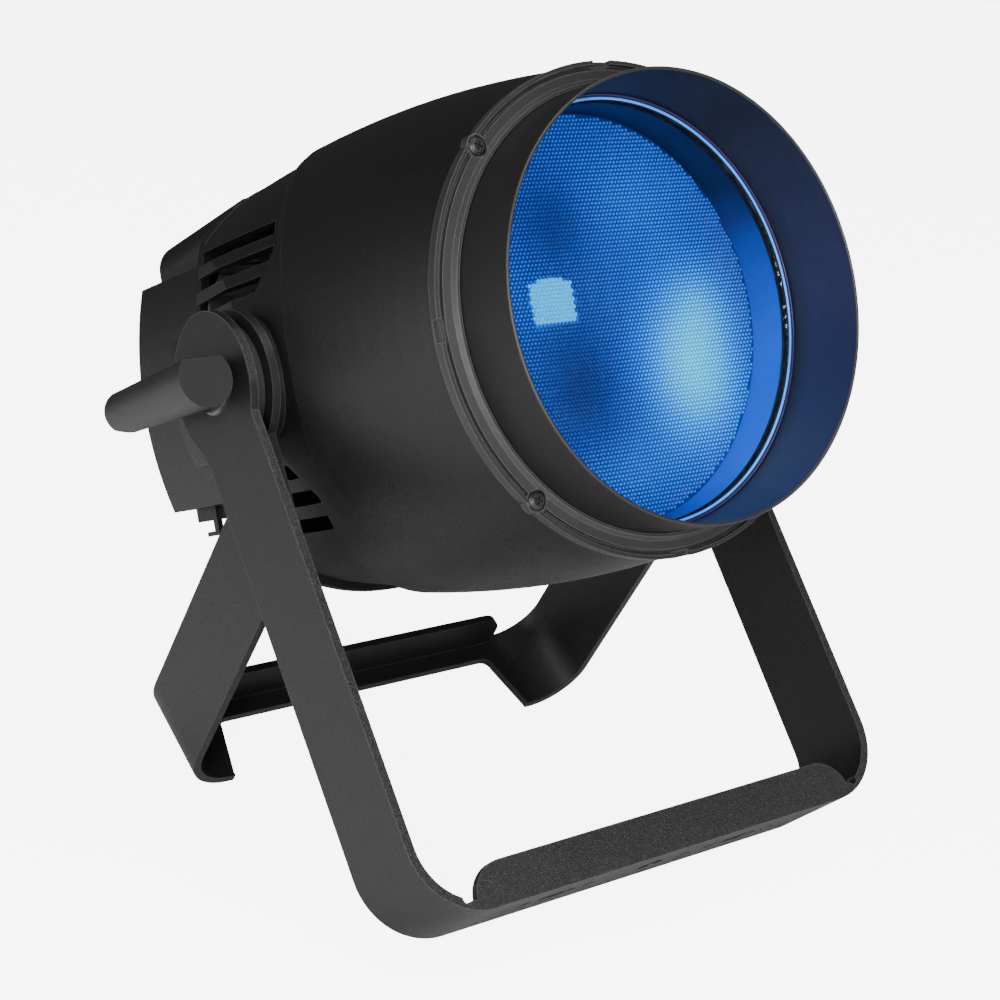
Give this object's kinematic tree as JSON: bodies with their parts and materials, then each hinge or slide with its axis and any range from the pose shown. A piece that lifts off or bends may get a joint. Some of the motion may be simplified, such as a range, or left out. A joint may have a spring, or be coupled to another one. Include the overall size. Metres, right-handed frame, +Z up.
{
  "type": "led par can light",
  "caption": "Stage light with a bell-shaped head, hood and lens on a folding double bracket, tilted and locked by two side levers.",
  "frame": {"origin": "centre of the bounding box at floor level", "axes": "+Z up, the beam leaves towards -Y, X along the pivot axis"},
  "size_m": [0.3232, 0.375, 0.3573],
  "materials": {
    "aluminium": "bare",
    "black_plastic": "moulded",
    "blue_plastic": "moulded",
    "board": "circuit board",
    "emitter": "light source",
    "glass": "clear",
    "grey_plastic": "moulded",
    "lens_plastic": "clear honeycomb lens lit blue from behind",
    "lever_black": "matte moulded plastic",
    "mirror_dish": "bright spun",
    "powder_black": "fine textured matte powder coat",
    "ring_grey": "fine grained satin coat",
    "rubber": "soft",
    "steel": "plain zinc",
    "tube_satin": "satin",
    "window": "glossy dark",
    "wire": "wire insulation"
  },
  "bodies": {
    "stand": {"front_bracket": "powder_black", "friction_discs": "rubber", "lever_washers": "steel"},
    "rear_stand": {"rear_bracket": "powder_black"},
    "head": {"pivot_studs": "steel", "pivot_blocks": "aluminium", "front_shell": "powder_black", "vented_shell": "powder_black", "rear_cover": "powder_black", "rear_panel": "powder_black", "front_ring": "ring_grey", "ring_screws": "powder_black", "hood": "powder_black", "front_glass": "glass", "glass_gasket": "rubber", "lens_tube": "tube_satin", "lens_plate": "lens_plastic", "reflector": "mirror_dish", "led_emitter": "emitter", "led_board": "board", "heat_sink": "aluminium", "fan_frame": "black_plastic", "fan_screws": "steel", "bulkhead": "steel", "power_supply": "board", "supply_tray": "steel", "control_board": "board", "display_module": "black_plastic", "display_window": "window", "button_bezel": "black_plastic", "data_in_socket": "black_plastic", "data_out_socket": "black_plastic", "power_in_socket": "blue_plastic", "power_out_socket": "grey_plastic", "socket_screws": "steel", "fuse_holder": "black_plastic", "panel_screws": "steel", "cover_screws": "steel", "safety_eye": "steel", "led_leads": "wire"},
    "lever_l": {"lever_left": "lever_black"},
    "lever_r": {"lever_right": "lever_black"},
    "fan": {"fan_rotor": "black_plastic"},
    "key_menu": {"button_menu": "black_plastic"},
    "key_down": {"button_down": "black_plastic"},
    "key_up": {"button_up": "black_plastic"},
    "key_enter": {"button_enter": "black_plastic"},
    "latch": {"data_out_latch": "steel"},
    "fuse_plug": {"fuse_cap": "black_plastic"}
  },
  "joints": [
    {"name": "head_tilt", "type": "hinge", "parent": "stand", "child": "head", "pos_m": [0, 0.00381, 0.2117], "axis": [1, 0, 0], "range_deg": [-55, 60]},
    {"name": "rear_bracket_fold", "type": "hinge", "parent": "stand", "child": "rear_stand", "pos_m": [0, 0.00381, 0.2117], "axis": [1, 0, 0], "range_deg": [-50, 30]},
    {"name": "lever_left_turn", "type": "hinge", "parent": "stand", "child": "lever_l", "pos_m": [0, 0.00381, 0.2117], "axis": [1, 0, 0], "range_deg": [-60, 120]},
    {"name": "lever_right_turn", "type": "hinge", "parent": "stand", "child": "lever_r", "pos_m": [0, 0.00381, 0.2117], "axis": [1, 0, 0], "range_deg": [-60, 120]},
    {"name": "fan_spin", "type": "hinge", "parent": "head", "child": "fan", "pos_m": [0, 0.0603, 0.19147], "axis": [0, -0.9415, 0.3371], "continuous": true},
    {"name": "key_menu_press", "type": "slide", "parent": "head", "child": "key_menu", "axis": [0, -0.9415, 0.3371], "range_m": [0, 0.0012], "stiffness_N_per_m": 600, "springref_m": -0.0004},
    {"name": "key_down_press", "type": "slide", "parent": "head", "child": "key_down", "axis": [0, -0.9415, 0.3371], "range_m": [0, 0.0012], "stiffness_N_per_m": 600, "springref_m": -0.0004},
    {"name": "key_up_press", "type": "slide", "parent": "head", "child": "key_up", "axis": [0, -0.9415, 0.3371], "range_m": [0, 0.0012], "stiffness_N_per_m": 600, "springref_m": -0.0004},
    {"name": "key_enter_press", "type": "slide", "parent": "head", "child": "key_enter", "axis": [0, -0.9415, 0.3371], "range_m": [0, 0.0012], "stiffness_N_per_m": 600, "springref_m": -0.0004},
    {"name": "latch_press", "type": "slide", "parent": "head", "child": "latch", "axis": [0, -0.9415, 0.3371], "range_m": [0, 0.001], "stiffness_N_per_m": 600, "springref_m": -0.0004},
    {"name": "fuse_plug_turn", "type": "hinge", "parent": "head", "child": "fuse_plug", "pos_m": [0, 0.15322, 0.13059], "axis": [0, -0.9415, 0.3371], "range_deg": [0, 90]}
  ]
}
